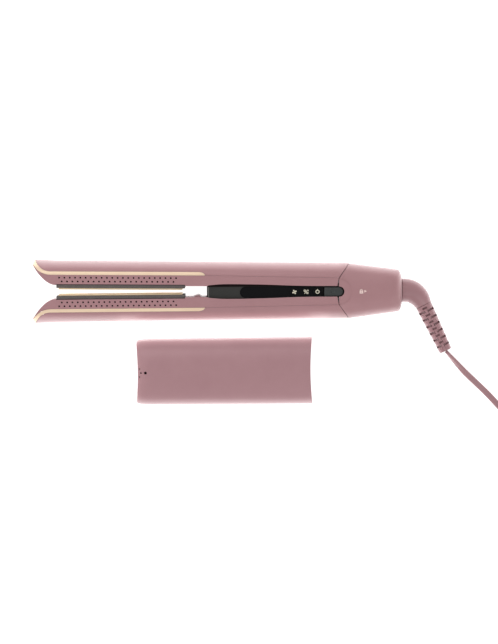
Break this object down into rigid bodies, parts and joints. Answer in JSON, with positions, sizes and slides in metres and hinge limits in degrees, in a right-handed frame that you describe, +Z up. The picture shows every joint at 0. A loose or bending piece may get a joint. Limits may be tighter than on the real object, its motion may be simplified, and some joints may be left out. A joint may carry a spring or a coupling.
{
  "type": "flat iron",
  "caption": "Hand-held hair straightener: two hinged arms with floating heated plates, side vents, control strip, swivelling cord and slip-on plate cover.",
  "frame": {"origin": "where the axis of the hinge pin meets the flat side the iron lies on", "axes": "+X towards the cord end, +Y towards the upper arm, +Z up from the flat side"},
  "size_m": [0.4763, 0.1615, 0.043],
  "materials": {
    "shell": "satin mauve lacquer with a slight metallic sheen",
    "trim": "pale champagne gold, satin",
    "plate": "pale gold coated plate, polished",
    "holder": "warm dark grey, finely grained",
    "core": "matt charcoal",
    "lens": "gloss black",
    "slider": "satin grey",
    "steel": "bright",
    "pin_brass": "plated",
    "ceramic": "sintered",
    "dark_plastic": "matt black",
    "board": "lacquered circuit board",
    "moulded_rubber": "soft matt mauve",
    "cord": "satin mauve"
  },
  "bodies": {
    "base": {"lower_outer_shell": "shell", "lower_inner_shell": "shell", "lower_trim_band": "trim", "lower_inner_cover": "shell", "lower_hinge_bracket": "steel", "lower_plate_holder": "holder", "lower_front_spring": "steel", "lower_rear_spring": "steel", "lower_thermal_fuse": "steel", "lower_blower_case": "dark_plastic", "lower_front_screw": "steel", "lower_rear_screw": "steel", "hinge_pin": "steel", "torsion_spring": "steel", "tail_front_shell": "shell", "tail_back_shell": "shell", "core_frame": "core", "core_back_cover": "core", "display_lens": "lens", "control_board": "board", "power_board": "board", "tail_screw_1": "steel", "tail_screw_2": "steel", "cord_lead": "cord", "cord_coil": "cord", "coil_tie": "dark_plastic", "cord_end": "cord", "plug_body": "moulded_rubber", "plug_pin_1": "pin_brass", "plug_pin_2": "pin_brass"},
    "upper_arm": {"upper_outer_shell": "shell", "upper_inner_shell": "shell", "upper_trim_band": "trim", "upper_inner_cover": "shell", "upper_hinge_bracket": "steel", "upper_plate_holder": "holder", "upper_front_spring": "steel", "upper_rear_spring": "steel", "upper_thermal_fuse": "steel", "upper_blower_case": "dark_plastic", "upper_front_screw": "steel", "upper_rear_screw": "steel"},
    "upper_floating_plate": {"upper_plate": "plate", "upper_heater": "ceramic"},
    "lower_floating_plate": {"lower_plate": "plate", "lower_heater": "ceramic"},
    "upper_blower": {"upper_impeller": "dark_plastic"},
    "lower_blower": {"lower_impeller": "dark_plastic"},
    "fan_button": {"fan_button": "lens"},
    "temperature_button": {"temperature_button": "lens"},
    "power_button": {"power_button": "lens"},
    "lock_slider": {"lock_slider": "slider"},
    "cord_swivel": {"swivel_elbow": "moulded_rubber", "ribbed_relief": "moulded_rubber"},
    "travel_cover": {"travel_cover": "shell"}
  },
  "joints": [
    {"name": "arm_hinge", "type": "hinge", "parent": "base", "child": "upper_arm", "pos_m": [0, 0, 0.0185], "axis": [0, 0, -1], "range_deg": [-0.75, 11], "stiffness_Nm_per_rad": 0.3},
    {"name": "upper_plate_float", "type": "slide", "parent": "upper_arm", "child": "upper_floating_plate", "axis": [0.014, 0.9999, 0], "range_m": [0, 0.0012], "stiffness_N_per_m": 2000, "deforming": ["upper_front_spring", "upper_rear_spring"]},
    {"name": "lower_plate_float", "type": "slide", "parent": "base", "child": "lower_floating_plate", "axis": [0, -1, 0], "range_m": [0, 0.0012], "stiffness_N_per_m": 2000, "deforming": ["lower_front_spring", "lower_rear_spring"]},
    {"name": "upper_fan_spin", "type": "hinge", "parent": "upper_arm", "child": "upper_blower", "pos_m": [-0.12342, 0.01372, 0.0185], "axis": [0.014, 0.9999, 0], "continuous": true},
    {"name": "lower_fan_spin", "type": "hinge", "parent": "base", "child": "lower_blower", "pos_m": [-0.1236, -0.012, 0.0185], "axis": [0, -1, 0], "continuous": true},
    {"name": "fan_button_press", "type": "slide", "parent": "base", "child": "fan_button", "axis": [0, 0, -1], "range_m": [0, 0.0004], "stiffness_N_per_m": 1500},
    {"name": "temperature_button_press", "type": "slide", "parent": "base", "child": "temperature_button", "axis": [0, 0, -1], "range_m": [0, 0.0004], "stiffness_N_per_m": 1500},
    {"name": "power_button_press", "type": "slide", "parent": "base", "child": "power_button", "axis": [0, 0, -1], "range_m": [0, 0.0004], "stiffness_N_per_m": 1500},
    {"name": "lock_slide", "type": "slide", "parent": "base", "child": "lock_slider", "axis": [-1, 0, 0], "range_m": [0, 0.001]},
    {"name": "cord_turn", "type": "hinge", "parent": "base", "child": "cord_swivel", "pos_m": [0.0124, 0, 0.0185], "axis": [-1, 0, 0], "continuous": true},
    {"name": "cover_slide", "type": "slide", "parent": "base", "child": "travel_cover", "axis": [-1, 0, 0], "range_m": [0, 0.14]}
  ]
}
